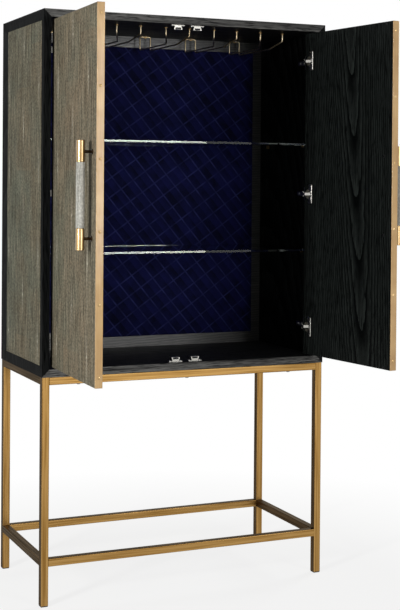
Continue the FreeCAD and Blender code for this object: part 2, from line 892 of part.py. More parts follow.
def rail_holes():
    length = tube_size + 2
    radius = stand_screw_radius + screw_gap
    places = stand_screw_places()
    return [Part.makeCylinder(radius, length, Vector(x, y, rail_low - 1)) for x, y in places]


def cross_bar(back, low_z):
    x = leg_half - tube_size
    y = leg_corner(False, back)[1]
    return tube((-x, y, low_z), (x, y + tube_size, low_z + tube_size), 0)


def side_bar(right, low_z):
    x = leg_corner(right, False)[0]
    y = stand_inset + tube_size
    return tube((x, y, low_z), (x + tube_size, case_depth - y, low_z + tube_size), 1)


def stand_screw(x, y):
    length = tube_size + stand_screw_grip
    seat = (x, y, rail_low)
    return screw(seat, (0, 0, 1), length, stand_screw_radius, stand_screw_head_radius, stand_screw_head)


def case_screws():
    screws = both_sides([small_screw(p, (-1, 0, 0)) for p in wing_screw_places()])
    screws += both_sides([left_tail_screw(z) for z in hinge_heights])
    for up in (-1, 1):
        screws += [small_screw(p, (0, 0, up)) for p in catch_screw_places(up)]
    return screws + [small_screw(p, (0, 0, 1)) for p in saddle_screw_places()]


os.makedirs("parts", exist_ok=True)

save("case_top", case_top_board())
save("case_bottom", case_bottom_board())
left_board = left_case_side()
save("left_side", left_board)
save("right_side", mirrored(left_board))
save("left_side_cladding", left_cladding())
save("right_side_cladding", mirrored(left_cladding()))
save("back_panel", back_board())
save("pad_board", pad_board())
save("quilted_back_pad", quilted_pad())
save("lower_shelf", shelf(lower_shelf_rise))
save("upper_shelf", shelf(upper_shelf_rise))
save("shelf_pins", shelf_pins())
for number, place in enumerate(rack_places, 1):
    save("stemware_rack_%d" % number, rack_wire(place))
save("rack_collars", [rack_collar(x, y) for x, y in hanger_places()])
save("rack_saddles", [rack_saddle(x) for x in rack_places])

catches = [catch_parts(x, up) for up in (-1, 1) for x in (-catch_offset, catch_offset)]
save("catch_housings", [housing for housing, magnet in catches])
save("catch_magnets", [magnet for housing, magnet in catches])
save("hinge_plates", both_sides([left_hinge_plate(z) for z in hinge_heights]))
save("hinge_arms", both_sides([left_hinge_arm(z) for z in hinge_heights]))
save("case_screws", case_screws())

for piece, shapes in door_pieces().items():
    save("left_" + piece, [opened(shape, pivot_x, -left_door_open) for shape in shapes])
    save("right_" + piece, [opened(mirrored(shape), -pivot_x, right_door_open) for shape in shapes])

for side_name, is_right in (("left", False), ("right", True)):
    save("front_%s_leg" % side_name, leg(is_right, False))
    save("back_%s_leg" % side_name, leg(is_right, True))
    save("%s_top_rail" % side_name, side_bar(is_right, rail_low))
    save("%s_stretcher" % side_name, side_bar(is_right, stretcher_height))
for end_name, is_back in (("front", False), ("back", True)):
    save("%s_top_rail" % end_name, cross_bar(is_back, rail_low).cut(rail_holes()))
    save("%s_stretcher" % end_name, cross_bar(is_back, stretcher_height))
save("foot_glides", [glide(is_right, is_back) for is_right in (False, True) for is_back in (False, True)])
save("stand_screws", [stand_screw(x, y) for x, y in stand_screw_places()])
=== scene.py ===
import json
import math
import bmesh
import bpy
from mathutils import Matrix, Vector


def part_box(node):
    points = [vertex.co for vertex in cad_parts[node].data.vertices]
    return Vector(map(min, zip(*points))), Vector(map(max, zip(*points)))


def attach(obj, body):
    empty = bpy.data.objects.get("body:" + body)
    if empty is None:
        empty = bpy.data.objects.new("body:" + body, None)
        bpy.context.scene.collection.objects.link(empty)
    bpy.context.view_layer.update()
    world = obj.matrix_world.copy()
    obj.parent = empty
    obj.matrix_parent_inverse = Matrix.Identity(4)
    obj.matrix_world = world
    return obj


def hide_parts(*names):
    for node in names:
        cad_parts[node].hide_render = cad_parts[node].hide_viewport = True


# Bar armoire: finishes, the quilted pad, the floor, the lights and the camera, in metres.

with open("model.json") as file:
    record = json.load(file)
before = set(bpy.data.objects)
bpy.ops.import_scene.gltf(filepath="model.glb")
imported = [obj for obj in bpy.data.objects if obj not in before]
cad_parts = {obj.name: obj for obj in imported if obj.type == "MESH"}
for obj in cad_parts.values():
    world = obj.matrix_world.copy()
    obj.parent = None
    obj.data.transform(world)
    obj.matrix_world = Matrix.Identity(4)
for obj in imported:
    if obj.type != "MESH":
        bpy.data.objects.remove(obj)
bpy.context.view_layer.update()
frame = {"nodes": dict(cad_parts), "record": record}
nodes = frame["nodes"]

MM = 0.001

# Box of the pad's solid, whose place the quilted pad takes
pad_low, pad_high = (Vector(corner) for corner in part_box("quilted_back_pad"))
pad_middle = (pad_low + pad_high) / 2

# Floor point under the middle of the case's front face, from which the camera and the lamps are placed
case_low, case_high = (Vector(corner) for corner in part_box("case_top"))
case_front = Vector(((case_low.x + case_high.x) / 2, case_low.y, 0))

# Photograph's frame and the camera that took it, found from the case's corners and feet
PHOTO_WIDTH = 400
PHOTO_HEIGHT = 610
CAMERA_EYE = case_front + Vector((-1.750, -4.0225, 1.369))
CAMERA_YAW = math.radians(23.67)
CAMERA_PITCH = math.radians(-0.69)
CAMERA_ROLL = math.radians(0.44)
FOCAL_PIXELS = 1320.9
CENTRE_X_PIXEL = 193.6
CENTRE_Y_PIXEL = 194.6
SENSOR = 36.0

# Quilted pad: channels sewn in two families of slanting rows, a steep one and a shallow one
CHANNEL_PITCH = 56 * MM
STEEP_ANGLE = math.radians(50)
SHALLOW_ANGLE = math.radians(35)
ACROSS_STEEP = (math.sin(STEEP_ANGLE), math.cos(STEEP_ANGLE))
ACROSS_SHALLOW = (-math.sin(SHALLOW_ANGLE), math.cos(SHALLOW_ANGLE))
CELLS_PER_CHANNEL = 8
PAD_SEWN_Y = pad_low.y + 6 * MM
PAD_PUFF_LIMIT = 6.5 * MM
PAD_FRAMES = 20

# Pad's rolled edge: its width, and the share of that width and of the pad's depth that each step reaches
PAD_EDGE_ROLL = 5 * MM
PAD_ROLL_STEPS = ((0.72, 0.18), (1.0, 0.5), (1.0, 1.0))

# Studio floor: half its side, and how far from the middle its shadow fades into the white
FLOOR_REACH = 9.0
SHADOW_NEAR = 0.7
SHADOW_FAR = 1.8

# Socket numbers of a colour Mix node
MIX_A = 6
MIX_B = 7
MIX_RESULT = 2

# Rings that a Wave node draws in one unit of its scaled coordinate
WAVE_RINGS = 20 / (2 * math.pi)


def linear(hex_colour):
    channels = [int(hex_colour[i:i + 2], 16) / 255 for i in (1, 3, 5)]
    curve = [c / 12.92 if c <= 0.04045 else ((c + 0.055) / 1.055) ** 2.4 for c in channels]
    return (*curve, 1.0)


def per(millimetres):
    return 1 / (millimetres * MM)


def grain_scale(width, length):
    # Pattern scale for marks of this width and length in millimetres, drawn out along Z.
    return per(width), per(width), per(length)


def feed(tree, node, inputs):
    for name, value in inputs.items():
        if isinstance(value, bpy.types.NodeSocket):
            tree.links.new(value, node.inputs[name])
        else:
            node.inputs[name].default_value = value


def add(tree, kind, settings=None, inputs=None):
    made = tree.nodes.new(kind)
    for name, value in (settings or {}).items():
        setattr(made, name, value)
    feed(tree, made, inputs or {})
    return made


def blank_material(name):
    material = bpy.data.materials.new(name)
    material.use_nodes = True
    tree = material.node_tree
    tree.nodes.clear()
    shader = add(tree, "ShaderNodeBsdfPrincipled")
    add(tree, "ShaderNodeOutputMaterial", inputs={"Surface": shader.outputs["BSDF"]})
    place = add(tree, "ShaderNodeTexCoord").outputs["Object"]
    return material, tree, shader, place


def black_oak(name, grain_turn, trunk, dark, pale, gloss, rough, edge_highlight=None):
    # Oak, wire-brushed and stained black: paler summer wood stands out in long arcs and streaks, and
    # open pores run along the grain as short dark lines. A painted highlight, broken into streaks, makes the
    # face in the case's front plane paler.
    material, tree, shader, place = blank_material(name)
    along = add(tree, "ShaderNodeMapping", inputs={"Vector": place, "Rotation": grain_turn}).outputs[0]
    trunk_lean = (math.radians(4), math.radians(3), 0)
    ring_place = add(tree, "ShaderNodeMapping", inputs={
        "Vector": along, "Location": trunk, "Rotation": trunk_lean}).outputs[0]
    ring_width = 9
    rings = add(tree, "ShaderNodeTexWave", {
        "wave_type": "RINGS", "rings_direction": "Z", "wave_profile": "SAW"}, {
        "Vector": ring_place, "Scale": per(ring_width) / WAVE_RINGS, "Distortion": 2.2, "Detail": 3.0,
        "Detail Scale": 0.35}).outputs["Fac"]
    streak_place = add(tree, "ShaderNodeMapping", inputs={
        "Vector": along, "Scale": grain_scale(9, 420)}).outputs[0]
    streaks = add(tree, "ShaderNodeTexNoise", inputs={
        "Vector": streak_place, "Scale": 1.0, "Detail": 4.0, "Roughness": 0.6}).outputs["Fac"]
    pore_place = add(tree, "ShaderNodeMapping", inputs={
        "Vector": along, "Scale": grain_scale(2.2, 46)}).outputs[0]
    pores = add(tree, "ShaderNodeTexNoise", inputs={
        "Vector": pore_place, "Scale": 1.0, "Detail": 2.0, "Roughness": 0.5}).outputs["Fac"]
    open_pores = add(tree, "ShaderNodeMapRange", inputs={
        "Value": pores, "From Min": 0.38, "From Max": 0.5}).outputs[0]
    figure = add(tree, "ShaderNodeMath", {"operation": "MULTIPLY"}, {0: rings, 1: streaks}).outputs[0]
    lift = add(tree, "ShaderNodeMapRange", inputs={
        "Value": figure, "From Min": 0.05, "From Max": 0.55}).outputs[0]
    raised = add(tree, "ShaderNodeMath", {"operation": "MULTIPLY"}, {0: lift, 1: open_pores}).outputs[0]
    stained = add(tree, "ShaderNodeMix", {"data_type": "RGBA"}, {
        0: raised, MIX_A: linear(dark), MIX_B: linear(pale)}).outputs[MIX_RESULT]
    depth = add(tree, "ShaderNodeSeparateXYZ", inputs={0: place}).outputs[1]
    # Painted highlight: the face in the case's front plane turns paler in streaks
    behind_front = add(tree, "ShaderNodeMath", {"operation": "SUBTRACT"}, {
        0: depth, 1: case_front.y}).outputs[0]
    off_front = add(tree, "ShaderNodeMath", {"operation": "ABSOLUTE"}, {0: behind_front}).outputs[0]
    on_edge = add(tree, "ShaderNodeMapRange", inputs={
        "Value": off_front, "From Min": 3 * MM, "From Max": 1 * MM}).outputs[0]
    edge_streaks = add(tree, "ShaderNodeMapRange", inputs={
        "Value": streaks, "From Min": 0.3, "From Max": 0.65}).outputs[0]
    highlight_streaks = add(tree, "ShaderNodeMath", {"operation": "MULTIPLY"}, {0: edge_streaks, 1: open_pores}).outputs[0]
    painted_edge_highlight = add(tree, "ShaderNodeMath", {"operation": "MULTIPLY"}, {0: highlight_streaks, 1: on_edge}).outputs[0]
    colour = add(tree, "ShaderNodeMix", {"data_type": "RGBA"}, {
        0: painted_edge_highlight, MIX_A: stained, MIX_B: linear(edge_highlight or pale)}).outputs[MIX_RESULT]
    roughness = add(tree, "ShaderNodeMapRange", inputs={
        "Value": open_pores, "To Min": rough + 0.15, "To Max": rough}).outputs[0]
    relief = add(tree, "ShaderNodeMath", {"operation": "MULTIPLY_ADD"}, {
        0: open_pores, 1: 0.6, 2: figure}).outputs[0]
    bump = add(tree, "ShaderNodeBump", inputs={
        "Height": relief, "Strength": 0.35, "Distance": 0.5 * MM}).outputs[0]
    feed(tree, shader, {
        "Base Color": colour, "Roughness": roughness, "Normal": bump, "Specular IOR Level": gloss})
    return material


def shagreen(name, middle_spine, skin_width, contrast, warm, cool, pale, pearl):
    # Ray skin, dyed and sanded: fine round grains with a vertical brush of tone, laid as narrow skins of
    # slightly different tone. Each skin has one bright pearl on its spine, with a paler streak through
    # it. The grains are drawn coarser than real ones, so that they show.
    material, tree, shader, place = blank_material(name)
    parts = add(tree, "ShaderNodeSeparateXYZ", inputs={0: place}).outputs
    skin_length = 274 * MM
    pearl_height = 1.255
    from_middle = add(tree, "ShaderNodeMath", {"operation": "SUBTRACT"}, {
        0: parts[1], 1: case_front.y + middle_spine}).outputs[0]
    off_spine = add(tree, "ShaderNodeMath", {"operation": "WRAP"}, {
        0: from_middle, 1: skin_width / 2, 2: -skin_width / 2}).outputs[0]
    spine = add(tree, "ShaderNodeMath", {"operation": "DIVIDE"}, {
        0: from_middle, 1: skin_width}).outputs[0]
    spine_number = add(tree, "ShaderNodeMath", {"operation": "ROUND"}, {0: spine}).outputs[0]
    above_pearl = add(tree, "ShaderNodeMath", {"operation": "SUBTRACT"}, {
        0: parts[2], 1: pearl_height}).outputs[0]
    staggered = add(tree, "ShaderNodeMath", {"operation": "MULTIPLY_ADD"}, {
        0: spine_number, 1: skin_length / 2, 2: above_pearl}).outputs[0]
    along_spine = add(tree, "ShaderNodeMath", {"operation": "WRAP"}, {
        0: staggered, 1: skin_length / 2, 2: -skin_length / 2}).outputs[0]
    skins_up = add(tree, "ShaderNodeMath", {"operation": "DIVIDE"}, {
        0: staggered, 1: skin_length}).outputs[0]
    skin_number = add(tree, "ShaderNodeMath", {"operation": "ROUND"}, {0: skins_up}).outputs[0]
    skin = add(tree, "ShaderNodeCombineXYZ", inputs={0: spine_number, 1: skin_number}).outputs[0]
    skin_tone = add(tree, "ShaderNodeTexWhiteNoise", {"noise_dimensions": "2D"}, {
        "Vector": skin}).outputs["Value"]
    cloud = add(tree, "ShaderNodeTexNoise", inputs={
        "Vector": place, "Scale": per(120), "Detail": 2.0}).outputs["Fac"]
    tone = add(tree, "ShaderNodeMath", {"operation": "MULTIPLY_ADD"}, {
        0: skin_tone, 1: 0.4, 2: cloud}).outputs[0]
    tone_mask = add(tree, "ShaderNodeMapRange", inputs={
        "Value": tone, "From Min": 0.45, "From Max": 0.95}).outputs[0]
    ground = add(tree, "ShaderNodeMix", {"data_type": "RGBA"}, {
        0: tone_mask, MIX_A: linear(warm), MIX_B: linear(cool)}).outputs[MIX_RESULT]
    streak_place = add(tree, "ShaderNodeMapping", inputs={
        "Vector": place, "Scale": grain_scale(6, 150)}).outputs[0]
    streaks = add(tree, "ShaderNodeTexNoise", inputs={
        "Vector": streak_place, "Scale": 1.0, "Detail": 5.0, "Roughness": 0.65}).outputs["Fac"]
    streak_mask = add(tree, "ShaderNodeMapRange", inputs={
        "Value": streaks, "From Min": 0.45, "From Max": 0.72}).outputs[0]
    brushed = add(tree, "ShaderNodeMix", {"data_type": "RGBA"}, {
        0: streak_mask, MIX_A: ground, MIX_B: linear(pale)}).outputs[MIX_RESULT]
    spot = add(tree, "ShaderNodeCombineXYZ", inputs={0: off_spine, 1: along_spine}).outputs[0]
    dot_place = add(tree, "ShaderNodeVectorMath", {"operation": "MULTIPLY"}, {
        0: spot, 1: (per(5), per(6), 0)}).outputs[0]
    dot_reach = add(tree, "ShaderNodeVectorMath", {"operation": "LENGTH"}, {
        0: dot_place}).outputs["Value"]
    dot = add(tree, "ShaderNodeMapRange", inputs={
        "Value": dot_reach, "From Min": 1.0, "From Max": 0.5}).outputs[0]
    line_place = add(tree, "ShaderNodeVectorMath", {"operation": "MULTIPLY"}, {
        0: spot, 1: (per(6), per(85), 0)}).outputs[0]
    line_reach = add(tree, "ShaderNodeVectorMath", {"operation": "LENGTH"}, {
        0: line_place}).outputs["Value"]
    line = add(tree, "ShaderNodeMapRange", inputs={
        "Value": line_reach, "From Min": 1.0, "From Max": 0.2, "To Max": 0.5}).outputs[0]
    pearls = add(tree, "ShaderNodeMath", {"operation": "MAXIMUM"}, {0: dot, 1: line}).outputs[0]
    spined = add(tree, "ShaderNodeMix", {"data_type": "RGBA"}, {
        0: pearls, MIX_A: brushed, MIX_B: linear(pearl)}).outputs[MIX_RESULT]
    grain_place = add(tree, "ShaderNodeMapping", inputs={
        "Vector": place, "Scale": grain_scale(4.5, 7)}).outputs[0]
    grains = add(tree, "ShaderNodeTexVoronoi", {"feature": "F1"}, {
        "Vector": grain_place, "Scale": 1.0}).outputs["Distance"]
    grain_shade = add(tree, "ShaderNodeMapRange", inputs={
        "Value": grains, "From Min": 0.15, "From Max": 0.75,
        "To Min": 1 + 0.22 * contrast, "To Max": 1 - 0.4 * contrast}).outputs[0]
    dye_place = add(tree, "ShaderNodeMapping", inputs={
        "Vector": place, "Scale": grain_scale(6, 110)}).outputs[0]
    dye = add(tree, "ShaderNodeTexNoise", inputs={
        "Vector": dye_place, "Scale": 1.0, "Detail": 3.0, "Roughness": 0.6}).outputs["Fac"]
    dye_shade = add(tree, "ShaderNodeMapRange", inputs={
        "Value": dye, "From Min": 0.3, "From Max": 0.7,
        "To Min": 1 - 0.55 * contrast, "To Max": 1 + 0.55 * contrast}).outputs[0]
    shade = add(tree, "ShaderNodeMath", {"operation": "MULTIPLY"}, {
        0: grain_shade, 1: dye_shade}).outputs[0]
    colour = add(tree, "ShaderNodeMix", {"data_type": "RGBA", "blend_type": "MULTIPLY"}, {
        0: 1.0, MIX_A: spined, MIX_B: shade}).outputs[MIX_RESULT]
    roughness = add(tree, "ShaderNodeMapRange", inputs={
        "Value": streaks, "From Min": 0.3, "From Max": 0.7, "To Min": 0.68, "To Max": 0.52}).outputs[0]
    bump = add(tree, "ShaderNodeBump", {"invert": True}, {
        "Height": grains, "Strength": 0.3, "Distance": 0.4 * MM}).outputs[0]
    feed(tree, shader, {
        "Base Color": colour, "Roughness": roughness, "Normal": bump, "Specular IOR Level": 0.015})
    return material


def brass(name, bright, dull, smooth, rough, lacquer):
    # Brass, brushed: a warm mirror blurred by fine scratches, duller in soft clouds. Lacquer is a clear
    # coat that adds a thin white gloss, and 0 leaves the metal bare.
    material, tree, shader, place = blank_material(name)
    cloud = add(tree, "ShaderNodeTexNoise", inputs={
        "Vector": place, "Scale": per(90), "Detail": 3.0}).outputs["Fac"]
    scratch_place = add(tree, "ShaderNodeMapping", inputs={
        "Vector": place, "Scale": grain_scale(2.5, 70)}).outputs[0]
    scratches = add(tree, "ShaderNodeTexNoise", inputs={
        "Vector": scratch_place, "Scale": 1.0, "Detail": 3.0}).outputs["Fac"]
    cloud_mask = add(tree, "ShaderNodeMapRange", inputs={
        "Value": cloud, "From Min": 0.35, "From Max": 0.68}).outputs[0]
    colour = add(tree, "ShaderNodeMix", {"data_type": "RGBA"}, {
        0: cloud_mask, MIX_A: linear(bright), MIX_B: linear(dull)}).outputs[MIX_RESULT]
    roughness = add(tree, "ShaderNodeMapRange", inputs={
        "Value": scratches, "From Min": 0.3, "From Max": 0.7, "To Min": smooth, "To Max": rough}).outputs[0]
    bump = add(tree, "ShaderNodeBump", inputs={
        "Height": scratches, "Strength": 0.06, "Distance": 0.2 * MM}).outputs[0]
    feed(tree, shader, {
        "Base Color": colour, "Roughness": roughness, "Normal": bump, "Metallic": 1.0,
        "Coat Weight": lacquer, "Coat Roughness": 0.12})
    return material


def painted_shade_brass(name, brush_turn):
    # Brass tube, brushed along its length: gold on the faces that look to the front and the back,
    # and a painted shade of dark brown on its other faces and in its corners, with a brown-grey specular
    # tint so that they stay brown where they are seen at a low angle. The brush marks are drawn coarser
    # than real ones, so that they show.
    material, tree, shader, place = blank_material(name)
    facing = add(tree, "ShaderNodeTexCoord").outputs["Normal"]
    parts = add(tree, "ShaderNodeSeparateXYZ", inputs={0: facing}).outputs
    to_front = add(tree, "ShaderNodeMath", {"operation": "ABSOLUTE"}, {0: parts[1]}).outputs[0]
    along = add(tree, "ShaderNodeMapping", inputs={"Vector": place, "Rotation": brush_turn}).outputs[0]
    brush_place = add(tree, "ShaderNodeMapping", inputs={
        "Vector": along, "Scale": grain_scale(5, 260)}).outputs[0]
    brushed = add(tree, "ShaderNodeTexNoise", inputs={
        "Vector": brush_place, "Scale": 1.0, "Detail": 3.0, "Roughness": 0.6}).outputs["Fac"]
    brush_mask = add(tree, "ShaderNodeMapRange", inputs={
        "Value": brushed, "From Min": 0.36, "From Max": 0.66}).outputs[0]
    gold = add(tree, "ShaderNodeMix", {"data_type": "RGBA"}, {
        0: brush_mask, MIX_A: linear("#82602f"), MIX_B: linear("#b18c54")}).outputs[MIX_RESULT]
    # Painted shade: dark brown for the faces that look sideways, up or down
    painted_side_shade = add(tree, "ShaderNodeMix", {"data_type": "RGBA"}, {
        0: brush_mask, MIX_A: linear("#2a1f15"), MIX_B: linear("#594734")}).outputs[MIX_RESULT]
    lit_faces_mask = add(tree, "ShaderNodeMapRange", {"interpolation_type": "SMOOTHSTEP"}, {
        "Value": to_front, "From Min": 0.45, "From Max": 0.95}).outputs[0]
    colour = add(tree, "ShaderNodeMix", {"data_type": "RGBA"}, {
        0: lit_faces_mask, MIX_A: painted_side_shade, MIX_B: gold}).outputs[MIX_RESULT]
    roughness = add(tree, "ShaderNodeMapRange", inputs={
        "Value": brushed, "From Min": 0.3, "From Max": 0.7, "To Min": 0.48, "To Max": 0.32}).outputs[0]
    bump = add(tree, "ShaderNodeBump", inputs={
        "Height": brushed, "Strength": 0.08, "Distance": 0.2 * MM}).outputs[0]
    feed(tree, shader, {
        "Base Color": colour, "Roughness": roughness, "Normal": bump, "Metallic": 1.0,
        "Specular Tint": linear("#cecac2")})
    return material


def plated_metal(name, bright, dull, smooth, rough):
    # Pressed steel, plated with nickel or zinc or blackened: a mirror with faint stains and handling marks.
    material, tree, shader, place = blank_material(name)
    stains = add(tree, "ShaderNodeTexNoise", inputs={
        "Vector": place, "Scale": per(7), "Detail": 3.0}).outputs["Fac"]
    colour = add(tree, "ShaderNodeMix", {"data_type": "RGBA"}, {
        0: stains, MIX_A: linear(bright), MIX_B: linear(dull)}).outputs[MIX_RESULT]
    roughness = add(tree, "ShaderNodeMapRange", inputs={
        "Value": stains, "To Min": smooth, "To Max": rough}).outputs[0]
    feed(tree, shader, {"Base Color": colour, "Roughness": roughness, "Metallic": 1.0})
    return material


def float_glass():
    # Float glass with polished edges: clear through its faces, pale green along its length, faintly smeared.
    material, tree, shader, place = blank_material("float_glass")
    smears = add(tree, "ShaderNodeTexNoise", inputs={
        "Vector": place, "Scale": per(60), "Detail": 2.0}).outputs["Fac"]
    roughness = add(tree, "ShaderNodeMapRange", inputs={
        "Value": smears, "From Min": 0.55, "From Max": 0.8, "To Min": 0.0, "To Max": 0.012}).outputs[0]
    feed(tree, shader, {
        "Base Color": linear("#eaf5f0"), "Roughness": roughness, "Transmission Weight": 1.0, "IOR": 1.52})
    return material


def beside_seam(tree, place, across):
    # Distance from the nearest row of stitches of one family, below zero on one side of it.
    start = across[0] * pad_middle.x + across[1] * pad_middle.z
    distance = add(tree, "ShaderNodeVectorMath", {"operation": "DOT_PRODUCT"}, {
        0: place, 1: (across[0], 0, across[1])}).outputs["Value"]
    from_middle = add(tree, "ShaderNodeMath", {"operation": "SUBTRACT"}, {
        0: distance, 1: start}).outputs[0]
    return add(tree, "ShaderNodeMath", {"operation": "WRAP"}, {
        0: from_middle, 1: CHANNEL_PITCH / 2, 2: -CHANNEL_PITCH / 2}).outputs[0]


def navy_velvet():
    # Cotton velvet, sewn through foam: short pile that is darkest seen straight on and glows at its edges.
    # A painted sheen makes it paler along each row of stitches, and painted shading makes each steep channel
    # lighter on one side than on the other.
    material, tree, shader, place = blank_material("navy_velvet")
    steep = beside_seam(tree, place, ACROSS_STEEP)
    shallow = beside_seam(tree, place, ACROSS_SHALLOW)
    steep_off = add(tree, "ShaderNodeMath", {"operation": "ABSOLUTE"}, {0: steep}).outputs[0]
    shallow_off = add(tree, "ShaderNodeMath", {"operation": "ABSOLUTE"}, {0: shallow}).outputs[0]
    seam_edge = 4 * MM
    seam_core = 0.5 * MM
    steep_seam = add(tree, "ShaderNodeMapRange", {"interpolation_type": "SMOOTHSTEP"}, {
        "Value": steep_off, "From Min": seam_edge, "From Max": seam_core}).outputs[0]
    shallow_seam = add(tree, "ShaderNodeMapRange", {"interpolation_type": "SMOOTHSTEP"}, {
        "Value": shallow_off, "From Min": seam_edge, "From Max": seam_core, "To Max": 0.85}).outputs[0]
    rows = add(tree, "ShaderNodeMath", {"operation": "MAXIMUM"}, {
        0: steep_seam, 1: shallow_seam}).outputs[0]
    fading = add(tree, "ShaderNodeTexNoise", inputs={
        "Vector": place, "Scale": per(38), "Detail": 2.0}).outputs["Fac"]
    showing = add(tree, "ShaderNodeMapRange", inputs={
        "Value": fading, "From Min": 0.35, "From Max": 0.65, "To Min": 0.25}).outputs[0]
    sewn = add(tree, "ShaderNodeMath", {"operation": "MULTIPLY"}, {0: rows, 1: showing}).outputs[0]
    # Painted shade and light: each steep channel grows lighter from one side to the other
    painted_puff_shade = add(tree, "ShaderNodeMapRange", {"interpolation_type": "SMOOTHSTEP"}, {
        "Value": steep, "From Min": CHANNEL_PITCH / 2, "From Max": -CHANNEL_PITCH / 2,
        "To Max": 0.22}).outputs[0]
    brushed = add(tree, "ShaderNodeTexNoise", inputs={
        "Vector": place, "Scale": per(70), "Detail": 4.0, "Roughness": 0.6}).outputs["Fac"]
    # The pile's random tone, with the painted shading added
    tone = add(tree, "ShaderNodeMath", {"operation": "ADD"}, {0: brushed, 1: painted_puff_shade}).outputs[0]
    tone_mask = add(tree, "ShaderNodeMapRange", inputs={
        "Value": tone, "From Min": 0.4, "From Max": 0.82}).outputs[0]
    pile = add(tree, "ShaderNodeTexNoise", inputs={
        "Vector": place, "Scale": per(1.6), "Detail": 2.0}).outputs["Fac"]
    ground = add(tree, "ShaderNodeMix", {"data_type": "RGBA"}, {
        0: tone_mask, MIX_A: linear("#0b0c25"), MIX_B: linear("#151747")}).outputs[MIX_RESULT]
    # Painted sheen: the rows of stitches turn a paler violet
    colour = add(tree, "ShaderNodeMix", {"data_type": "RGBA"}, {
        0: sewn, MIX_A: ground, MIX_B: linear("#2b2f62")}).outputs[MIX_RESULT]
    bump = add(tree, "ShaderNodeBump", inputs={
        "Height": pile, "Strength": 0.25, "Distance": 0.4 * MM}).outputs[0]
    feed(tree, shader, {
        "Base Color": colour, "Normal": bump, "Roughness": 0.9, "Specular IOR Level": 0.1,
        "Sheen Weight": 0.35, "Sheen Roughness": 0.35, "Sheen Tint": linear("#3a3aa8")})
    return material


def birch_plywood():
    # Birch plywood, sanded and left bare behind the pad: pale, with soft long streaks.
    material, tree, shader, place = blank_material("birch_plywood")
    streak_place = add(tree, "ShaderNodeMapping", inputs={
        "Vector": place, "Scale": grain_scale(12, 300)}).outputs[0]
    streaks = add(tree, "ShaderNodeTexNoise", inputs={
        "Vector": streak_place, "Scale": 1.0, "Detail": 4.0}).outputs["Fac"]
    colour = add(tree, "ShaderNodeMix", {"data_type": "RGBA"}, {
        0: streaks, MIX_A: linear("#c9ad82"), MIX_B: linear("#a98a5c")}).outputs[MIX_RESULT]
    feed(tree, shader, {"Base Color": colour, "Roughness": 0.7})
    return material


def glide_plastic():
    # Moulded polyethylene foot: black, matt, scuffed grey.
    material, tree, shader, place = blank_material("moulded_polyethylene")
    scuffs = add(tree, "ShaderNodeTexNoise", inputs={
        "Vector": place, "Scale": per(4), "Detail": 4.0}).outputs["Fac"]
    colour = add(tree, "ShaderNodeMix", {"data_type": "RGBA"}, {
        0: scuffs, MIX_A: linear("#151412"), MIX_B: linear("#2c2a27")}).outputs[MIX_RESULT]
    feed(tree, shader, {"Base Color": colour, "Roughness": 0.6})
    return material


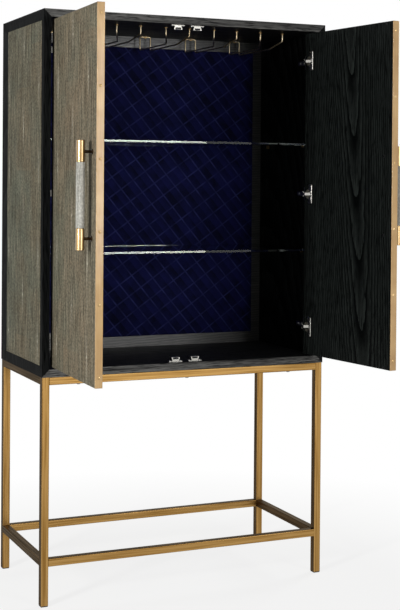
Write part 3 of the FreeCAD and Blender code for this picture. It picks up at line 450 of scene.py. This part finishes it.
def dress_nodes():
    upright = (0, 0, 0)
    across = (0, -math.pi / 2, 0)
    along = (math.pi / 2, 0, 0)
    board_trunk = (0.1, -0.4, 0)

    # One finish for each of the record's material slots
    finishes = {
        "black_oak": black_oak(
            "black_oak_upright", upright, trunk=(0.75, -0.3, 0),
            dark="#050606", pale="#1e1f1f", gloss=0.012, rough=0.55),
        "shagreen": shagreen(
            "taupe_shagreen_sides", middle_spine=0.217, skin_width=0.170, contrast=1.0,
            warm="#6f6553", cool="#616356", pale="#827e6d", pearl="#bab6a6"),
        "pale_shagreen": shagreen(
            "pale_grey_shagreen", middle_spine=0.0, skin_width=0.165, contrast=0.6,
            warm="#b3b1a8", cool="#a5a49d", pale="#c6c4ba", pearl="#d6d4ca"),
        "brass": brass(
            "satin_brass", bright="#b39566", dull="#9a7c4c", smooth=0.26, rough=0.4, lacquer=0.8),
        "stand_brass": painted_shade_brass("painted_shade_brass_upright", upright),
        "velvet": navy_velvet(),
        "plywood": birch_plywood(),
        "glass": float_glass(),
        "nickel": plated_metal(
            "nickel_plate", bright="#b5b3ad", dull="#93918b", smooth=0.22, rough=0.38),
        "steel": plated_metal(
            "zinc_plated_steel", bright="#a2a4a6", dull="#7b7d80", smooth=0.25, rough=0.42),
        "glide_plastic": glide_plastic(),
    }

    # Finishes of single nodes, whose grain, tone or gloss differs from the slot's
    # The level boards get a pale grey painted highlight on their front faces
    level_oak = black_oak(
        "black_oak_level", across, board_trunk,
        dark="#0a0a0b", pale="#2a2a2c", gloss=0.08, rough=0.45, edge_highlight="#7c7b78")
    back_oak = black_oak(
        "black_oak_back", across, board_trunk, dark="#0d0d0e", pale="#45443f", gloss=0.78, rough=0.3)
    left_oak = black_oak(
        "black_oak_left_door", upright, trunk=(0.62, 0.2, 0),
        dark="#040505", pale="#2a2e2c", gloss=0.02, rough=0.5)
    right_oak = black_oak(
        "black_oak_right_door", upright, trunk=(-0.62, 0.36, 0),
        dark="#040505", pale="#2a2e2c", gloss=0.02, rough=0.5)
    door_skin = shagreen(
        "taupe_shagreen_doors", middle_spine=-0.200, skin_width=0.1615, contrast=1.0,
        warm="#786b58", cool="#696758", pale="#8a8371", pearl="#bfb9a8")
    strip_brass = brass(
        "lacquered_strip_brass", bright="#ad9166", dull="#9c7e55", smooth=0.55, rough=0.7, lacquer=0.7)
    # Painted shade: the handle posts get a near-black brass for the shadow that the bar casts on them
    shaded_post_brass = brass(
        "brass_painted_shade", bright="#3a2a1a", dull="#22180f", smooth=0.35, rough=0.5, lacquer=0.0)
    wire_brass = brass(
        "brass_wire", bright="#d8c6a4", dull="#b9a47c", smooth=0.24, rough=0.36, lacquer=1.0)
    tube_across = painted_shade_brass("painted_shade_brass_across", across)
    tube_along = painted_shade_brass("painted_shade_brass_along", along)
    blackened = plated_metal(
        "blackened_steel", bright="#2b2b2c", dull="#1c1c1d", smooth=0.35, rough=0.5)
    special = {
        "case_top": level_oak,
        "case_bottom": level_oak,
        "back_panel": back_oak,
        "left_door_core": left_oak,
        "right_door_core": right_oak,
        "catch_magnets": blackened,
    }
    for side in ("left", "right"):
        special[side + "_door_face"] = door_skin
        special[side + "_edge_strip"] = strip_brass
        special[side + "_handle_posts"] = shaded_post_brass
        special[side + "_strikes"] = blackened
        special[side + "_door_screws"] = blackened
        special[side + "_top_rail"] = tube_along
        special[side + "_stretcher"] = tube_along
    for end in ("front", "back"):
        special[end + "_top_rail"] = tube_across
        special[end + "_stretcher"] = tube_across
    for name in nodes:
        if name.startswith("stemware_rack_"):
            special[name] = wire_brass

    for entry in frame["record"]["subparts"]:
        name = entry["node"]
        mesh = nodes[name].data
        mesh.materials.clear()
        mesh.materials.append(special.get(name) or finishes[entry["material_slot"]])
    return finishes


def is_sewn(point):
    x = point.x - pad_middle.x
    z = point.z - pad_middle.z
    lines = [(across[0] * x + across[1] * z) / CHANNEL_PITCH for across in (ACROSS_STEEP, ACROSS_SHALLOW)]
    return any(abs(line - round(line)) < 0.02 for line in lines)


def pad_cover():
    # One layer of cloth, meshed along the two families of channels and trimmed inside the pad's outline.
    reach = math.hypot(pad_high.x - pad_low.x, pad_high.z - pad_low.z)
    channels = math.ceil(reach / CHANNEL_PITCH / 2) + 1
    segments = 2 * channels * CELLS_PER_CHANNEL
    cover = bmesh.new()
    bmesh.ops.create_grid(
        cover, x_segments=segments, y_segments=segments, size=channels * CHANNEL_PITCH)
    columns = Matrix((ACROSS_STEEP, ACROSS_SHALLOW)).inverted()
    skew = Matrix((
        (columns[0][0], columns[0][1], 0, pad_middle.x),
        (0, 0, 1, PAD_SEWN_Y),
        (columns[1][0], columns[1][1], 0, pad_middle.z),
        (0, 0, 0, 1)))
    bmesh.ops.transform(cover, matrix=skew, verts=cover.verts)
    edges = (
        ((pad_low.x + PAD_EDGE_ROLL, 0, 0), (-1, 0, 0)),
        ((pad_high.x - PAD_EDGE_ROLL, 0, 0), (1, 0, 0)),
        ((0, 0, pad_low.z + PAD_EDGE_ROLL), (0, 0, -1)),
        ((0, 0, pad_high.z - PAD_EDGE_ROLL), (0, 0, 1)))
    for point, outward in edges:
        everything = cover.verts[:] + cover.edges[:] + cover.faces[:]
        bmesh.ops.bisect_plane(
            cover, geom=everything, plane_co=point, plane_no=outward, clear_outer=True)
    bmesh.ops.recalc_face_normals(cover, faces=cover.faces)
    if cover.faces[0].normal.y > 0:
        bmesh.ops.reverse_faces(cover, faces=cover.faces)
    return cover


def puff_cover(pad, sewn):
    # The cloth swells between its rows of stitches, which hold it.
    group = pad.vertex_groups.new(name="stitches")
    group.add(sewn, 1.0, "REPLACE")
    cloth = pad.modifiers.new("swell", "CLOTH")
    settings = cloth.settings
    settings.quality = 6
    settings.mass = 0.2
    settings.tension_stiffness = 8
    settings.compression_stiffness = 4
    settings.shear_stiffness = 3
    settings.bending_stiffness = 0.3
    settings.vertex_group_mass = "stitches"
    settings.use_pressure = True
    settings.uniform_pressure_force = 6
    settings.effector_weights.gravity = 0
    cloth.collision_settings.use_collision = False
    cloth.point_cache.frame_start = 1
    cloth.point_cache.frame_end = PAD_FRAMES
    scene = bpy.context.scene
    for number in range(1, PAD_FRAMES + 1):
        scene.frame_set(number)
    depsgraph = bpy.context.evaluated_depsgraph_get()
    puffed = bpy.data.meshes.new_from_object(pad.evaluated_get(depsgraph))
    swollen = [vertex.co.copy() for vertex in puffed.vertices]
    bpy.data.meshes.remove(puffed)
    pad.modifiers.remove(cloth)
    scene.frame_set(1)
    for vertex, place in zip(pad.data.vertices, swollen):
        move = place - vertex.co
        if move.length > PAD_PUFF_LIMIT:
            move = move.normalized() * PAD_PUFF_LIMIT
        vertex.co += move


def close_pad(mesh):
    # The cover rolls over the pad's edge and goes back to the board behind it.
    pad = bmesh.new()
    pad.from_mesh(mesh)
    rim = [edge for edge in pad.edges if edge.is_boundary]
    half_size = (pad_high - pad_low) / 2
    for width_share, depth_share in PAD_ROLL_STEPS:
        grown = bmesh.ops.extrude_edge_only(pad, edges=rim)["geom"]
        rim = [item for item in grown if isinstance(item, bmesh.types.BMEdge) and item.is_boundary]
        corners = {vertex for edge in rim for vertex in edge.verts}
        inset = PAD_EDGE_ROLL * (1 - width_share)
        reach_x = max(abs(vertex.co.x - pad_middle.x) for vertex in corners)
        reach_z = max(abs(vertex.co.z - pad_middle.z) for vertex in corners)
        grow = Matrix.Diagonal(((half_size.x - inset) / reach_x, 1, (half_size.z - inset) / reach_z, 1))
        bmesh.ops.transform(
            pad, matrix=grow, verts=list(corners), space=Matrix.Translation(-pad_middle))
        for vertex in corners:
            vertex.co.y = PAD_SEWN_Y + (pad_high.y - PAD_SEWN_Y) * depth_share
    bmesh.ops.edgeloop_fill(pad, edges=rim)
    bmesh.ops.recalc_face_normals(pad, faces=pad.faces)
    for face in pad.faces:
        face.smooth = True
    pad.to_mesh(mesh)
    pad.free()


def quilted_pad(finish):
    cover = pad_cover()
    cover.verts.index_update()
    sewn = [vertex.index for vertex in cover.verts if vertex.is_boundary or is_sewn(vertex.co)]
    mesh = bpy.data.meshes.new("quilted_velvet_pad")
    cover.to_mesh(mesh)
    cover.free()
    pad = bpy.data.objects.new("quilted_velvet_pad", mesh)
    bpy.context.collection.objects.link(pad)
    puff_cover(pad, sewn)
    pad.vertex_groups.clear()
    close_pad(mesh)
    mesh.materials.append(finish)
    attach(pad, "case")
    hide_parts("quilted_back_pad")


def shows_studio(tree):
    # 1 for a ray from the camera, off a glossy surface or through glass, which sees the white studio.
    path = add(tree, "ShaderNodeLightPath").outputs
    seen = path["Is Camera Ray"]
    for ray in ("Is Glossy Ray", "Is Transmission Ray"):
        seen = add(tree, "ShaderNodeMath", {"operation": "ADD", "use_clamp": True}, {
            0: seen, 1: path[ray]}).outputs[0]
    return seen


def pale_floor():
    # Plain pale studio floor. Far from the object it is as white as the background.
    material = bpy.data.materials.new("pale_floor")
    material.use_nodes = True
    tree = material.node_tree
    tree.nodes.clear()
    paint = add(tree, "ShaderNodeBsdfDiffuse", inputs={"Color": linear("#f2f2f0")}).outputs[0]
    glow = add(tree, "ShaderNodeEmission", inputs={"Color": (1, 1, 1, 1), "Strength": 1.0}).outputs[0]
    place = add(tree, "ShaderNodeTexCoord").outputs["Object"]
    away = add(tree, "ShaderNodeVectorMath", {"operation": "LENGTH"}, {0: place}).outputs["Value"]
    white = add(tree, "ShaderNodeMapRange", inputs={
        "Value": away, "From Min": SHADOW_NEAR, "From Max": SHADOW_FAR,
        "To Min": 0.8, "To Max": 1.0}).outputs[0]
    share = add(tree, "ShaderNodeMath", {"operation": "MULTIPLY"}, {
        0: shows_studio(tree), 1: white}).outputs[0]
    surface = add(tree, "ShaderNodeMixShader", inputs={0: share, 1: paint, 2: glow}).outputs[0]
    add(tree, "ShaderNodeOutputMaterial", inputs={"Surface": surface})
    shape = bmesh.new()
    bmesh.ops.create_grid(shape, x_segments=1, y_segments=1, size=FLOOR_REACH)
    mesh = bpy.data.meshes.new("floor")
    shape.to_mesh(mesh)
    shape.free()
    mesh.materials.append(material)
    floor = bpy.data.objects.new("floor", mesh)
    bpy.context.collection.objects.link(floor)


def white_world(ambient):
    # The background is white where it is seen, and lights the object at the ambient level.
    world = bpy.data.worlds.new("studio")
    bpy.context.scene.world = world
    world.use_nodes = True
    tree = world.node_tree
    tree.nodes.clear()
    strength = add(tree, "ShaderNodeMapRange", inputs={
        "Value": shows_studio(tree), "To Min": ambient, "To Max": 1.0}).outputs[0]
    backdrop = add(tree, "ShaderNodeBackground", inputs={
        "Color": (1, 1, 1, 1), "Strength": strength}).outputs[0]
    add(tree, "ShaderNodeOutputWorld", inputs={"Surface": backdrop})


def softbox(name, place, aim, width, height, level):
    # Level 1 lights a surface that faces the lamp, at the aim point, to its written colour.
    lamp = bpy.data.lights.new(name, "AREA")
    lamp.shape = "RECTANGLE"
    lamp.size = width
    lamp.size_y = height
    place = case_front + Vector(place)
    towards = case_front + Vector(aim) - place
    lamp.energy = level * math.pi ** 2 * towards.length_squared
    turn = towards.to_track_quat("-Z", "Y").to_matrix().to_4x4()
    holder = bpy.data.objects.new(name, lamp)
    holder.matrix_world = Matrix.Translation(place) @ turn
    bpy.context.collection.objects.link(holder)


def studio_light():
    white_world(ambient=0.09)
    softbox(
        "left_softbox", place=(-3.85, -2.15, 1.65), aim=(-0.5, -0.2, 1.32),
        width=0.5, height=1.2, level=0.87)
    softbox(
        "front_softbox", place=(1.33, -4.4, 1.55), aim=(-0.1, 0.0, 1.3),
        width=1.4, height=1.5, level=0.29)
    softbox(
        "right_softbox", place=(4.4, 2.0, 2.6), aim=(0.2, 0.3, 1.1),
        width=1.6, height=1.6, level=0.45)


def photo_camera():
    forward = Vector((
        math.sin(CAMERA_YAW) * math.cos(CAMERA_PITCH),
        math.cos(CAMERA_YAW) * math.cos(CAMERA_PITCH),
        math.sin(CAMERA_PITCH)))
    right = Vector((math.cos(CAMERA_YAW), -math.sin(CAMERA_YAW), 0))
    up = right.cross(forward)
    rolled_right = right * math.cos(CAMERA_ROLL) + up * math.sin(CAMERA_ROLL)
    rolled_up = up * math.cos(CAMERA_ROLL) - right * math.sin(CAMERA_ROLL)
    axes = Matrix((rolled_right, rolled_up, -forward)).transposed()
    data = bpy.data.cameras.new("photo_camera")
    data.sensor_width = SENSOR
    data.lens = FOCAL_PIXELS * SENSOR / PHOTO_HEIGHT
    data.shift_x = (PHOTO_WIDTH / 2 - CENTRE_X_PIXEL) / PHOTO_HEIGHT
    data.shift_y = (CENTRE_Y_PIXEL - PHOTO_HEIGHT / 2) / PHOTO_HEIGHT
    camera = bpy.data.objects.new("photo_camera", data)
    camera.matrix_world = Matrix.Translation(CAMERA_EYE) @ axes.to_4x4()
    bpy.context.collection.objects.link(camera)
    bpy.context.scene.camera = camera


bpy.context.scene.view_settings.view_transform = "Standard"
finishes = dress_nodes()
quilted_pad(finishes["velvet"])
pale_floor()
studio_light()
photo_camera()
